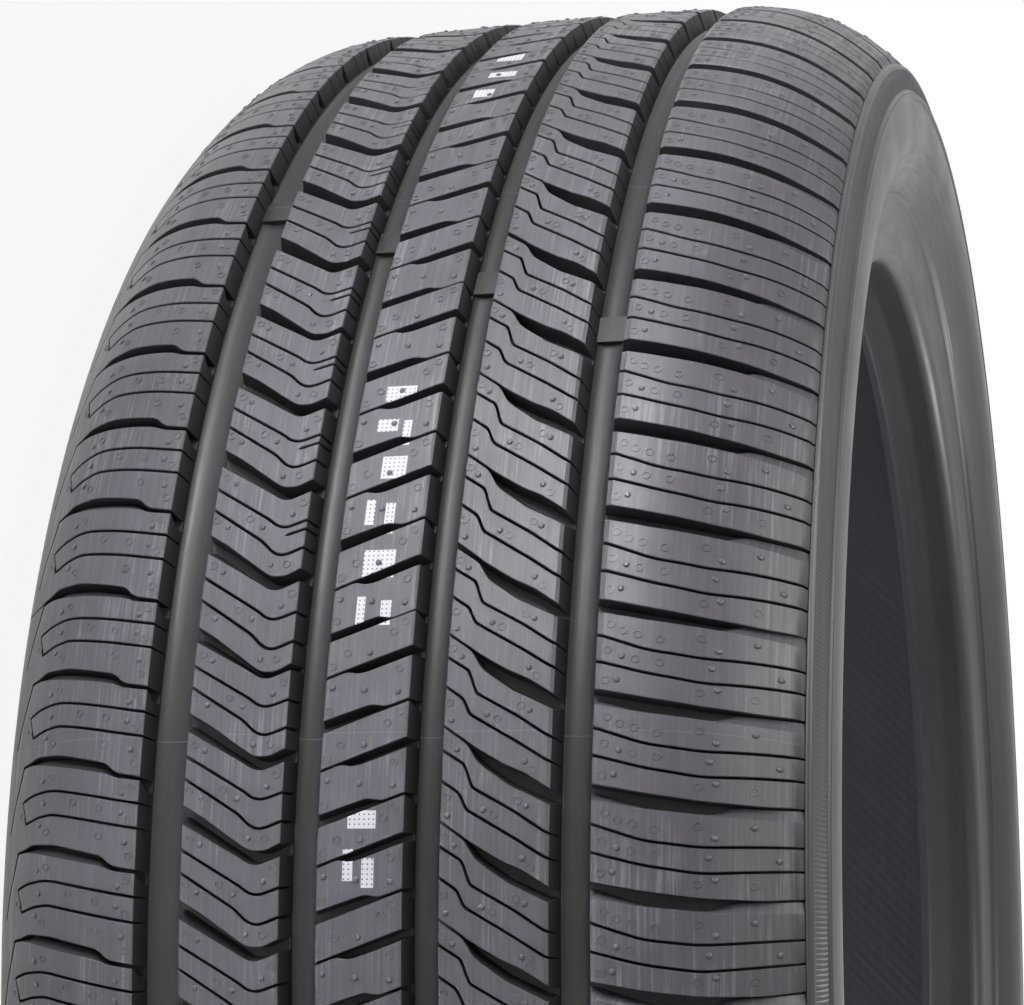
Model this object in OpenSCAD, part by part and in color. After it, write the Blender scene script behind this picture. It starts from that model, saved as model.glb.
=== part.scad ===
// Passenger car tyre of size 245/40 for a 19 inch wheel, off its wheel and lying on one sidewall.
// Z is the wheel axis and z = 0 is the middle of the tread. The tyre is one moulded piece.
// Four grooves part the tread into five ribs. Ribs are numbered from 1 at the lower shoulder
// to 5 at the upper one, and so are the grooves from 1 to 4.

/* [Overall size] */
// Diameter of the bead seats, which fits the rim of the wheel
bead_d = 487.4; // [484:0.2:490]
// Height of the section from the bead seat to the top of the middle rib
section_h = 95.6; // [93:0.1:98]
// Width over the widest part of both sidewalls
section_w = 238; // [233:0.5:246]
// Radius of the slight arch across the tread
crown_radius = 1880; // [1200:10:3000]

/* [Shoulder] */
// Distance from the middle of the tread to the shoulder edge line
shoulder_edge_at = 113; // [110:0.5:115]
// Fall of the shoulder below the crown arch at its edge line
shoulder_drop = 20.6; // [16:0.2:23]
// Power of the shoulder curve, higher for a squarer shoulder
shoulder_power = 2.5; // [2:0.1:3.2]
// Rounding of the shoulder edge line
edge_round = 1.2; // [0.6:0.1:1.6]
// Radial height of the plain band below the shoulder edge line
band_h = 12.6; // [10:0.2:14]
// How far the middle of the band stands out of a straight line between its edges
band_bulge = 1.2; // [0:0.1:1.6]
// Height of the ridge that ends the band
ridge_h = 0.7; // [0.3:0.1:1]
// How far the ridge stays inside the section width
ridge_inside = 0.4; // [0.1:0.1:1]
// Radial width of that ridge
ridge_w = 1.6; // [1:0.1:2.5]

/* [Sidewall] */
// Distance from the ridge down to the middle of the widest land
widest_below_ridge = 10.5; // [7:0.5:14]
// Radial width of the flat land at the widest place, on which the tyre lies
widest_land = 8; // [4:0.5:10]
// Height of the rim line above the bead seat
rim_line_h = 25; // [22:0.5:28]
// Width over both rim lines
rim_line_w = 217; // [212:0.5:224]
// How far the rim line stands out of the sidewall
rim_line_out = 0.9; // [0.4:0.1:1.5]
// Radial width of the rim line
rim_line_base = 2.8; // [2:0.1:4]

/* [Bead] */
// Width over both bead heels
bead_w = 210; // [204:0.5:214]
// Width of the bead base from heel to toe
bead_base = 23.5; // [20:0.5:26]
// Length of the cylindrical land of each bead seat
seat_land = 8; // [5:0.5:10]
// Rounding of the bead heel
heel_round = 5; // [3:0.5:7]
// How far the bead widens halfway from its heel to the rim line
bead_curve = 0.9; // [0:0.1:1.5]
// How far the bead toe reaches inside the seat
toe_drop = 2.4; // [1:0.2:4]
// Rounding of the bead toe
toe_round = 1.2; // [0.5:0.1:2]
// Height of the inside corner of the bead above the seat
toe_rise = 5; // [3:0.5:8]
// How far that corner lies behind the toe
toe_back = 4.5; // [2:0.5:8]

/* [Wall thickness] */
// Thickness under the middle rib
crown_t = 14; // [12:0.5:17]
// Thickness where the crown turns into the shoulder
shoulder_t = 14.5; // [13:0.5:18]
// Power of the inside curve at the shoulder, higher for a thicker shoulder
liner_power = 1.25; // [1:0.05:1.5]
// Thickness at the widest place
sidewall_t = 9.6; // [8:0.2:12]
// Thickness of the bead at the rim line
bead_t = 13.5; // [11:0.5:16]

/* [Grooves round the tread] */
// Depth of the four grooves
groove_depth = 7.8; // [6:0.1:9]
// Slope of the groove walls in degrees
groove_draft = 14; // [6:1:18]
// Bevel between wall and floor
groove_bevel = 1.4; // [0.8:0.1:2]
// Middle of groove 1
groove_1_at = -57; // [-58:0.1:-56]
// Width of groove 1
groove_1_w = 13.3; // [11:0.1:14]
// Middle of groove 2
groove_2_at = -17; // [-18:0.1:-16]
// Width of groove 2
groove_2_w = 10.4; // [9:0.1:12]
// Middle of groove 3
groove_3_at = 16.7; // [16:0.1:18]
// Width of groove 3
groove_3_w = 10; // [9:0.1:12]
// Middle of groove 4
groove_4_at = 56.2; // [55:0.1:57]
// Width of groove 4
groove_4_w = 10.8; // [10:0.1:13]
// Number of wear bars round each groove
wear_bars = 6; // [4:1:8]
// Height of a wear bar above the groove floor
wear_bar_h = 1.6; // [1:0.1:2]
// Length of a wear bar round the groove in degrees
wear_bar_angle = 1.6; // [1:0.1:2.5]
// Angle round the tyre of the first wear bar in groove 1
wear_bar_at = -131.3; // [-180:0.1:180]
// Angle from the wear bar in one groove to the next groove's
wear_bar_step = 3.6; // [0:0.1:15]

/* [Pitches] */
// Number of pattern pitches round the tread
pitches = 78; // [70:1:80]
// Number of waves in the order of short and long pitches
pitch_waves = 3; // [1:1:5]
// Length of a short pitch, against a medium one
pitch_short = 0.916; // [0.9:0.002:1]
// Length of a long pitch, against a medium one
pitch_long = 1.07; // [1:0.002:1.1]
// Angle of the wave of pitch lengths at the first pitch
wave_start = 129; // [0:1:359]
// Angle round the tyre at which the first pitch starts
first_pitch_at = -133.3; // [-180:0.1:180]

/* [Cuts across the ribs] */
// Depth of the wide cuts
cut_depth = 6.4; // [5:0.1:7]
// Width of the thin ends of the cuts
thin_w = 0.8; // [0.6:0.1:1.2]
// Width of the shoulder cuts
shoulder_cut_w = 3.4; // [2.5:0.1:4.5]
// Depth of the shoulder cuts at the shoulder edge line
shoulder_cut_out_depth = 3; // [2:0.1:5]
// Gap between the end of a shoulder cut and the shoulder edge line
shoulder_cut_gap = 1; // [0.5:0.1:3]
// Depth of the shallow end of a rib 1 cut, next to groove 1
notch_depth = 2.2; // [1:0.1:4]
// Length of that shallow end
notch_l = 8; // [5:0.5:12]
// Length of the ramp from the shallow end to the deep part
notch_ramp = 0.5; // [0.2:0.1:2]

/* [Sipes] */
// Width of the sipes in ribs 2 and 4
sipe_w = 0.8; // [0.6:0.1:1.2]
// Depth of the sipes in ribs 2 and 4
sipe_depth = 5; // [3:0.1:6]

/* [Hidden] */
$fn = 180;

turn = 360;
seat_r = bead_d / 2;
outer_r = seat_r + section_h;
half_w = section_w / 2;
grooves = [
    [groove_1_at, groove_1_w],
    [groove_2_at, groove_2_w],
    [groove_3_at, groove_3_w],
    [groove_4_at, groove_4_w]
];

// A cut is a list of [share of the rib's width, share of the pitch, width in mm].
// Shares of the width run from 0 at the rib's lower edge to 1 at its upper edge.
rib_2_groove = [[0, 0.41, 4.8], [0.72, 0.875, 3.8], [1, 0.78, 3.4]];
rib_3_cuts = [
    [[0, 0.495, 3], [0.62, 0.235, thin_w], [1, 0.19, thin_w]],
    [[0, 0.97, thin_w], [0.35, 0.855, thin_w], [1, 0.63, 2]]
];
rib_2_sipes = [
    [[0, -0.215, sipe_w], [0.69, 0.25, sipe_w], [1, 0.185, sipe_w]],
    [[0, 0.03, sipe_w], [0.72, 0.565, sipe_w], [1, 0.49, sipe_w]]
];
rib_4_sipes = [
    [[0, -0.24, sipe_w], [0.27, 0.1, sipe_w], [1, 0.62, sipe_w]],
    [[0, 0.08, sipe_w], [0.22, 0.34, sipe_w], [1, 0.88, sipe_w]]
];
rib_4_groove = [[0, -0.495, thin_w], [0.27, -0.305, thin_w], [0.31, -0.2, 3.4], [1, 0.25, 4.3]];

// A shoulder cut is [share of the pitch at the groove, share at the shoulder edge].
rib_1_cut = [0, -0.28];
rib_5_cut = [0.22, 0.3];

// How far cutting shapes run past the rubber, upwards and at their ends
clear = 3;
end_clear = 0.6;
// How far a cut runs on past a rib's edge, to come out of the sloped wall below it
cut_overrun = groove_depth * tan(groove_draft) + end_clear;
// How deep a wear bar's foot stands in the groove floor
bar_root = 1;
// Places on the curve of a shoulder, as shares of its width
shoulder_steps = [0.48, 0.78];
// Places where the floor of a shoulder cut bends, as shares of the shoulder's width
floor_steps = [0, 0.5, 1];
// Corners of the sidewall between rim line and widest land, as shares of its height and width
flank_shares = [[0.18, 0.22], [0.55, 0.8]];
// Share of a shoulder's width at which the inside of the crown starts to turn down
liner_bend = 0.3;
// Corners of the inside round a shoulder, as angles from the widest place
liner_angles = [22.5, 45, 67.5];

function crown_r(z) = outer_r - z * z / (2 * crown_radius);
function low_edge(g) = grooves[g][0] - grooves[g][1] / 2;
function high_edge(g) = grooves[g][0] + grooves[g][1] / 2;
// Edges of rib 2, 3 or 4
function rib_edges(rib) = [high_edge(rib - 2), low_edge(rib - 1)];
function rib_top(rib) = crown_r((rib_edges(rib)[0] + rib_edges(rib)[1]) / 2);
// Distance from the middle of the tread to the start of the shoulder on one side
function shoulder_from(side) = side > 0 ? high_edge(3) : -low_edge(0);

function shoulder_r(side, share) =
    crown_r(shoulder_from(side) + share * (shoulder_edge_at - shoulder_from(side)))
    - shoulder_drop * pow(share, shoulder_power);
function shoulder_z(side, share) =
    shoulder_from(side) + share * (shoulder_edge_at - shoulder_from(side));
edge_r = crown_r(shoulder_edge_at) - shoulder_drop;
ridge_r = edge_r - band_h;
widest_r = ridge_r - widest_below_ridge;
rim_line_r = seat_r + rim_line_h;
flank_h = widest_r - widest_land / 2 - rim_line_r;
flank_out = half_w - rim_line_w / 2;
ridge_z = half_w - ridge_inside - ridge_h;

// Outline of one shoulder from the outermost groove to the shoulder edge line, as [r, z]
function shoulder_points(side) = [
    for (share = concat([0], shoulder_steps, [1])) [shoulder_r(side, share), shoulder_z(side, share)]
];

// Point of the sidewall between rim line and widest land, moved in by part of the wall
function flank_point(shares, inwards) =
    let (t = bead_t + shares[0] * (sidewall_t - bead_t))
    [rim_line_r + shares[0] * flank_h, rim_line_w / 2 + shares[1] * flank_out - inwards * t];

// Point on the rounded heel of the bead, at an angle from its outer face
function heel_point(a) =
    [seat_r + heel_round * (1 - sin(a)), bead_w / 2 - heel_round * (1 - cos(a))];

// Outline of one sidewall and bead, from the shoulder edge line to the bead toe
wall_points = [
    [edge_r - edge_round, shoulder_edge_at + edge_round],
    [(edge_r + ridge_r) / 2, (shoulder_edge_at + ridge_z) / 2 + band_bulge],
    [ridge_r + ridge_w / 2, ridge_z],
    [ridge_r, ridge_z + ridge_h],
    [ridge_r - ridge_w, ridge_z + ridge_h],
    [widest_r + widest_land / 2, half_w],
    [widest_r - widest_land / 2, half_w],
    flank_point(flank_shares[1], 0),
    flank_point(flank_shares[0], 0),
    [rim_line_r + rim_line_base / 2, rim_line_w / 2 - rim_line_out],
    [rim_line_r, rim_line_w / 2],
    [rim_line_r - rim_line_base / 2, rim_line_w / 2 - rim_line_out],
    [(seat_r + rim_line_r) / 2, bead_w / 2 + bead_curve],
    heel_point(0),
    heel_point(45),
    heel_point(90),
    [seat_r, bead_w / 2 - heel_round - seat_land],
    [seat_r - toe_drop, bead_w / 2 - bead_base],
    [seat_r - toe_drop + toe_round, bead_w / 2 - bead_base - toe_round]
];

// Outline of the inside on one side, from the bead toe to the middle of the tread
liner_wide = [widest_r, half_w - sidewall_t];
liner_crown = [shoulder_r(1, liner_bend) - shoulder_t, shoulder_z(1, liner_bend)];
liner_points = concat(
    [[seat_r + toe_rise, bead_w / 2 - bead_base - toe_back], [rim_line_r, rim_line_w / 2 - bead_t]],
    [for (shares = flank_shares) flank_point(shares, 1)],
    [liner_wide],
    [for (a = liner_angles)
        [liner_wide[0] + (liner_crown[0] - liner_wide[0]) * pow(sin(a), liner_power),
         liner_crown[1] + (liner_wide[1] - liner_crown[1]) * pow(cos(a), liner_power)]],
    [liner_crown, [outer_r - crown_t, shoulder_from(1) / 2]]
);

function mirrored(points) = [for (i = [len(points) - 1:-1:0]) [points[i][0], -points[i][1]]];

// Section of one groove between two rib tops, as [r, z]
function groove_points(g, r_low, r_high) =
    let (z = grooves[g][0], w = grooves[g][1] / 2, floor_r = crown_r(z) - groove_depth,
         run = (groove_depth - groove_bevel) * tan(groove_draft))
    [
        [r_low, z - w],
        [floor_r + groove_bevel, z - w + run],
        [floor_r, z - w + run + groove_bevel],
        [floor_r, z + w - run - groove_bevel],
        [floor_r + groove_bevel, z + w - run],
        [r_high, z + w]
    ];

tread_points = concat(
    mirrored(shoulder_points(-1)),
    groove_points(0, shoulder_r(-1, 0), rib_top(2)),
    groove_points(1, rib_top(2), rib_top(3)),
    groove_points(2, rib_top(3), rib_top(4)),
    groove_points(3, rib_top(4), shoulder_r(1, 0)),
    shoulder_points(1)
);

// Angles at which the pitches start, with three pitch lengths in a wave round the tread
function pitch_weight(k) =
    let (wave = sin(turn * pitch_waves * k / pitches + wave_start))
    wave > 0.5 ? pitch_long : wave < -0.5 ? pitch_short : 1;
weights = [for (k = 0, sum = 0; k <= pitches; sum = sum + pitch_weight(k), k = k + 1) sum];
function pitch_at(k) = first_pitch_at + turn * weights[k] / weights[pitches];
function pitch_angle(k) = pitch_at(k + 1) - pitch_at(k);
function pitch_l(k) = 2 * PI * outer_r * pitch_angle(k) / turn;

// Place along the axis of a share of a rib's width, run on past the edges at 0 and 1
function rib_z(rib, share) =
    let (e = rib_edges(rib))
    e[0] + share * (e[1] - e[0]) + (share <= 0 ? -cut_overrun : share >= 1 ? cut_overrun : 0);

// A cut straight down into rib 2, 3 or 4, along a bent line
module rib_cut(k, rib, line, depth) {
    shares = [for (p = line) p[1]];
    middle = (max(shares) + min(shares)) / 2;
    outline = concat(
        [for (p = line) [(p[1] - middle) * pitch_l(k) + p[2] / 2, rib_z(rib, p[0])]],
        [for (i = [len(line) - 1:-1:0])
            [(line[i][1] - middle) * pitch_l(k) - line[i][2] / 2, rib_z(rib, line[i][0])]]
    );
    rotate([0, 0, pitch_at(k) + middle * pitch_angle(k)])
        translate([rib_top(rib) - depth, 0, 0])
            rotate([90, 0, 90])
                linear_extrude(depth + clear)
                    polygon(outline);
}

// A straight cut over a shoulder, whose floor follows the shoulder's curve
module shoulder_cut(k, side, shares, w, depth_in, depth_out, notch = 0) {
    z_in = shoulder_from(side);
    z_out = shoulder_edge_at - shoulder_cut_gap;
    z_mid = (z_in + z_out) / 2;
    slant = atan((shares[1] - shares[0]) * pitch_l(k) / (z_out - z_in));
    floor_points = [
        for (share = floor_steps)
            [shoulder_r(side, share) - depth_in + (depth_in - depth_out) * pow(share, 2),
             side * min(z_out, shoulder_z(side, share))]
    ];
    inner_points = notch > 0
        ? [[shoulder_r(side, 0) - notch, side * (z_in - cut_overrun)],
           [shoulder_r(side, 0) - notch, side * (z_in + notch_l - notch_ramp)],
           [shoulder_r(side, 0) - depth_in, side * (z_in + notch_l)]]
        : [[shoulder_r(side, 0) - depth_in, side * (z_in - cut_overrun)]];
    deep_points = [for (p = floor_points) if (notch == 0 || side * p[1] > z_in + notch_l) p];
    outline = concat(inner_points, deep_points,
        [[outer_r + clear, side * z_out], [outer_r + clear, side * (z_in - cut_overrun)]]);
    rotate([0, 0, pitch_at(k) + (shares[0] + shares[1]) / 2 * pitch_angle(k)])
        translate([0, 0, side * z_mid])
            rotate([-side * slant, 0, 0])
                translate([0, 0, -side * z_mid])
                    rotate([90, 0, 0])
                        linear_extrude(w, center = true)
                            polygon(outline);
}

// All cuts of one pitch
module pitch_cuts(k) {
    shoulder_cut(k, -1, rib_1_cut, shoulder_cut_w, cut_depth, shoulder_cut_out_depth, notch_depth);
    rib_cut(k, 2, rib_2_groove, cut_depth);
    for (line = rib_2_sipes)
        rib_cut(k, 2, line, sipe_depth);
    for (line = rib_3_cuts)
        rib_cut(k, 3, line, cut_depth);
    rib_cut(k, 4, rib_4_groove, cut_depth);
    for (line = rib_4_sipes)
        rib_cut(k, 4, line, sipe_depth);
    shoulder_cut(k, 1, rib_5_cut, shoulder_cut_w, cut_depth, shoulder_cut_out_depth);
}

// The whole section turned round the axis
module carcass() {
    rotate_extrude()
        polygon(concat(tread_points, wall_points, liner_points,
            mirrored(liner_points), mirrored(wall_points)));
}

// Low bars on the groove floors that show when the tread is worn
module wear_bar_set() {
    for (g = [0:len(grooves) - 1], i = [0:wear_bars - 1])
        rotate([0, 0, wear_bar_at + g * wear_bar_step + i * turn / wear_bars])
            rotate_extrude(angle = wear_bar_angle)
                translate([crown_r(grooves[g][0]) - groove_depth - bar_root, low_edge(g)])
                    square([wear_bar_h + bar_root, grooves[g][1]]);
}

module tyre() {
    color("#37353a")
        difference() {
            union() {
                carcass();
                wear_bar_set();
            }
            for (k = [0:pitches - 1])
                pitch_cuts(k);
        }
}

tyre();
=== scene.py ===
"""A passenger car tyre off its wheel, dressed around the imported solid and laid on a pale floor.

Lengths in the classes are millimetres and angles are degrees, as on a tyre drawing. Meshes are
handed to Blender in metres. Z is the wheel axis. Round the tyre, a place is a share of one pattern
pitch, and each rib is one tile of blocks that Geometry Nodes repeat in three pitch lengths.
"""

import logging
import math
from dataclasses import dataclass, field, replace
from enum import Enum
from typing import Sequence

import bpy
import numpy as np
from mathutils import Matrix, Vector


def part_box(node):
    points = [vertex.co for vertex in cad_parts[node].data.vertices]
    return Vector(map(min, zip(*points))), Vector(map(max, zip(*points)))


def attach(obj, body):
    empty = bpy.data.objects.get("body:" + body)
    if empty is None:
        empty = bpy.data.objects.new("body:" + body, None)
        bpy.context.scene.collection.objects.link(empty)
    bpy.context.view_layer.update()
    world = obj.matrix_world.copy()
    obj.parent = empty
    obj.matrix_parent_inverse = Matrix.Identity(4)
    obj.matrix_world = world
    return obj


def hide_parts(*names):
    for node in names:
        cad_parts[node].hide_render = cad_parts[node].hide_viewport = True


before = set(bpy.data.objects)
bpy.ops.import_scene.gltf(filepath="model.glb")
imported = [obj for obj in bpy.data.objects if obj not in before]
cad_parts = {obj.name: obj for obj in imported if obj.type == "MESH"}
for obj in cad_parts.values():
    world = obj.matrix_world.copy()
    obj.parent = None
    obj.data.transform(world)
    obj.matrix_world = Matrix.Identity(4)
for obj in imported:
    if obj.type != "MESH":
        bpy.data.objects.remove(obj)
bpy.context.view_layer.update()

LOG = logging.getLogger("tyre")
MM = 0.001
BODY = "root"
NODE = "tyre"

# Millimetres past every place along the axis.
FAR = 200.0
# The tread's crown lies this far inside the CAD's, so that the vent nubs stay within its box.
NUB_ROOM = 0.46
# Light of the two floor lamps, a little cooler than the others.
COOL_WHITE = "eef0ff"
# Refraction of carbon-black rubber.
RUBBER_IOR = 1.52
# Heights of the marks on the rubber against its grain, and the pale share of a mould seam, which is
# a painted highlight on its flash.
TURNING_BUMP, CORD_BUMP, SEAM_BUMP, SEAM_HIGHLIGHT_TINT = 0.8, 4.0, 6.0, 0.2
# Fall of the shoulder band's radius for each millimetre that it is drawn in.
BAND_FALL = 0.6
# Readings that a rounded bend is averaged from.
BEND_READINGS = 7
# Points nearer than this are one point.
SAME_POINT = 1e-6

MATH, NOISE, MAP, MIX = (
    "ShaderNode" + kind for kind in ("Math", "TexNoise", "MapRange", "Mix"))
ADD, SUBTRACT, MULTIPLY, DIVIDE, MAXIMUM, SINE, COSINE, ARCTAN2, GREATER, LESS, COMPARE, WRAP = (
    {"operation": name} for name in (
        "ADD", "SUBTRACT", "MULTIPLY", "DIVIDE", "MAXIMUM", "SINE", "COSINE", "ARCTAN2",
        "GREATER_THAN", "LESS_THAN", "COMPARE", "WRAP"))
LENGTH = {"operation": "LENGTH"}
FLOAT = {"data_type": "FLOAT"}
COLOUR = {"data_type": "RGBA"}

Point = tuple[float, float]
Line = Sequence[Point]
Spot = tuple[float, float, float]


def srgb(code: str) -> tuple[float, float, float, float]:
    """Turns an sRGB hex colour into the linear colour that a socket takes.

    Args:
        code: Six hex digits.

    Returns:
        Linear red, green and blue, and an alpha of 1.
    """
    parts = [int(code[i:i + 2], 16) / 255 for i in (0, 2, 4)]
    linear = [c / 12.92 if c <= 0.04045 else ((c + 0.055) / 1.055) ** 2.4 for c in parts]
    return (*linear, 1.0)


def add_node(tree: bpy.types.NodeTree, kind: str, settings: dict | None = None,
             links: dict | Sequence = ()) -> bpy.types.Node:
    """Adds a node with its settings, socket values and links.

    Args:
        tree: The tree that gets the node.
        kind: The node's type.
        settings: Properties of the node by name.
        links: What feeds each input, by the input's name or in order: a socket, a node whose first
            output counts, or a constant.

    Returns:
        The new node.
    """
    node = tree.nodes.new(kind)
    for name, value in (settings or {}).items():
        setattr(node, name, value)
    for name, value in (links if isinstance(links, dict) else dict(enumerate(links))).items():
        if isinstance(value, bpy.types.Node):
            value = next(socket for socket in value.outputs if socket.enabled)
        if isinstance(value, bpy.types.NodeSocket):
            tree.links.new(value, node.inputs[name])
        else:
            node.inputs[name].default_value = value
    return node


def follow(line: Line, z: np.ndarray, blend: float = 0.0) -> np.ndarray:
    """Reads a line of points, with its bends rounded and its ends run straight on.

    Args:
        line: Points of place along the axis and value, in rising order of place.
        z: Places to read.
        blend: Half the length over which a bend is rounded.

    Returns:
        One value for each place.
    """
    at = np.array([p[0] for p in line], float)
    value = np.array([p[1] for p in line], float)

    def straight(q: np.ndarray) -> np.ndarray:
        """Linear reading with straight extrapolation."""
        inside = np.interp(q, at, value)
        low = (value[1] - value[0]) / (at[1] - at[0])
        high = (value[-1] - value[-2]) / (at[-1] - at[-2])
        return inside + np.minimum(q - at[0], 0) * low + np.maximum(q - at[-1], 0) * high

    z = np.asarray(z, float)
    if blend == 0.0:
        return straight(z)
    steps = np.linspace(-blend, blend, BEND_READINGS)
    return np.mean([straight(z + d) for d in steps], axis=0)


def curve_through(points: Line, steps: int) -> list[Point]:
    """Runs a Catmull-Rom curve through points.

    Args:
        points: The points in order.
        steps: Parts between two points.

    Returns:
        Points on the curve, both ends included.
    """
    p = np.array([points[0], *points, points[-1]], float)
    made: list[Point] = []
    for i in range(1, len(p) - 2):
        for t in np.arange(steps) / steps:
            a = 2 * p[i]
            b = p[i + 1] - p[i - 1]
            c = 2 * p[i - 1] - 5 * p[i] + 4 * p[i + 1] - p[i + 2]
            d = 3 * p[i] - 3 * p[i + 1] + p[i + 2] - p[i - 1]
            made.append(tuple(0.5 * (a + b * t + c * t * t + d * t ** 3)))
    made.append(tuple(p[-2]))
    return made


@dataclass(frozen=True)
class Groove:
    """One groove round the tread."""

    middle: float
    width: float

    @property
    def low(self) -> float:
        """Lower edge on the tread surface."""
        return self.middle - self.width / 2

    @property
    def high(self) -> float:
        """Upper edge on the tread surface."""
        return self.middle + self.width / 2


@dataclass(frozen=True)
class TreadForm:
    """The tread's outer surface and the sizes that all its ribs share."""

    outer_r: float
    crown_radius: float = 1880.0
    shoulder_at: float = 113.0
    shoulder_drop: float = 20.6
    shoulder_power: float = 2.5
    groove_depth: float = 7.8
    groove_draft: float = 14.0
    cut_depth: float = 6.4
    edge_depth: float = 3.0
    grooves: tuple[Groove, ...] = (
        Groove(-57.0, 13.3), Groove(-17.0, 10.4), Groove(16.7, 10.0), Groove(56.2, 10.8))

    @property
    def draft(self) -> float:
        """Run of a groove wall for each millimetre of depth."""
        return math.tan(math.radians(self.groove_draft))

    def shoulder_share(self, z: np.ndarray) -> np.ndarray:
        """How far a place lies from the outer groove's edge, at 0, to the shoulder, at 1."""
        z = np.asarray(z, float)
        start = np.where(z < 0, -self.grooves[0].low, self.grooves[-1].high)
        return np.clip((np.abs(z) - start) / (self.shoulder_at - start), 0, None)

    def radius(self, z: np.ndarray) -> np.ndarray:
        """Radius of the tread surface at a place along the axis."""
        z = np.asarray(z, float)
        fall = self.shoulder_drop * self.shoulder_share(z) ** self.shoulder_power
        return self.outer_r - z * z / (2 * self.crown_radius) - fall

    def depth(self, z: np.ndarray) -> np.ndarray:
        """Depth of the cuts, which grow shallow over the shoulders."""
        share = np.clip(self.shoulder_share(z), 0, 1)
        return self.cut_depth - (self.cut_depth - self.edge_depth) * share ** 2


@dataclass(frozen=True)
class PitchRing:
    """Order of short, medium and long pitches round the tread."""

    count: int = 78
    waves: int = 3
    short: float = 0.916
    long: float = 1.07
    wave_start: float = 129.0
    first_at: float = -133.3
    threshold: float = 0.5

    def weights(self) -> np.ndarray:
        """Length of each pitch against a medium one."""
        wave = np.sin(np.radians(360 * self.waves * np.arange(self.count) / self.count
                                 + self.wave_start))
        return np.where(wave > self.threshold, self.long,
                        np.where(wave < -self.threshold, self.short, 1.0))

    def pitch_mm(self, radius: float) -> float:
        """Length of a medium pitch at a radius."""
        return 2 * math.pi * radius / float(self.weights().sum())


@dataclass(frozen=True, kw_only=True)
class Opening:
    """What both kinds of cut share: the place along the axis where it starts, and its second wall.

    The second wall of a ramp is lit like the tread's top, so it takes the top's rubber and not the
    walls' darker rubber, which is painted shade.
    """

    starts: float = -FAR
    ramp: bool = False

    def open_at(self, z: float) -> bool:
        """Whether the cut has any width at a place along the axis."""
        return z >= self.starts


@dataclass(frozen=True)
class Slit(Opening):
    """A thin cut along a line of [place along the axis, share of the pitch]."""

    line: Line
    width: float = 0.75
    blend: float = 0.9
    lean: float = 0.04
    reach: float = 0.2

    def sides(self, z: np.ndarray, pitch: float) -> tuple[np.ndarray, np.ndarray]:
        """Shares of the pitch at which the cut's two walls stand."""
        low, middle, high = (
            follow(self.line, z + d, self.blend) for d in (-self.reach, 0.0, self.reach))
        slope = (high - low) / (2 * self.reach)
        half = self.width / 2 * np.sqrt(1 + (slope * pitch) ** 2) / pitch
        half = np.where(z < self.starts, 0.0, half)
        return middle - half, middle + half

    def runs(self, z: np.ndarray) -> tuple[np.ndarray, np.ndarray]:
        """How far each wall runs into the cut on its way down."""
        run = np.full(np.shape(z), self.lean)
        return run, run

    def ledge(self, z: float, depth: float) -> float:
        """Depth at which the second wall's slope ends, which is halfway down."""
        return depth / 2


@dataclass(frozen=True)
class Channel(Opening):
    """A wide cut between two lines, with one steep wall and one that slopes to the floor."""

    first: Line
    second: Line
    steep: float = 0.25
    slope: Line = ((-FAR, 1.5), (FAR, 1.5))
    slope_depth: Line = ((-FAR, 1.0), (FAR, 1.0))
    blend: float = 1.0
    slope_blend: float = 1.5
    least_ledge: float = 0.05
    most_ledge: float = 0.98

    def sides(self, z: np.ndarray, pitch: float) -> tuple[np.ndarray, np.ndarray]:
        """Shares of the pitch at which the cut's two walls stand."""
        first, second = follow(self.first, z, self.blend), follow(self.second, z, self.blend)
        middle = (first + second) / 2
        return np.where(z < self.starts, middle, first), np.where(z < self.starts, middle, second)

    def runs(self, z: np.ndarray) -> tuple[np.ndarray, np.ndarray]:
        """How far each wall runs into the cut on its way down."""
        return np.full(np.shape(z), self.steep), follow(self.slope, z, self.slope_blend)

    def ledge(self, z: float, depth: float) -> float:
        """Depth at which the slope of the second wall ends and the wall drops to the floor."""
        share = follow(self.slope_depth, np.array([z]))[0]
        return depth * float(np.clip(share, self.least_ledge, self.most_ledge))


Cut = Slit | Channel


class Mark(Enum):
    """Traces that the mould's air vents leave on the tread, as [radius, height] outlines."""

    RING = ((1.3, -0.2), (1.2, 0.15), (0.92, 0.15), (0.82, -0.2))
    NUB = ((1.0, -0.2), (0.8, 0.3), (0.4, 0.5))


class Part(Enum):
    """Kinds of surface on a tile, stored on its faces as numbers."""

    TOP = 0
    WALL = 1
    MARK = 2


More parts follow.
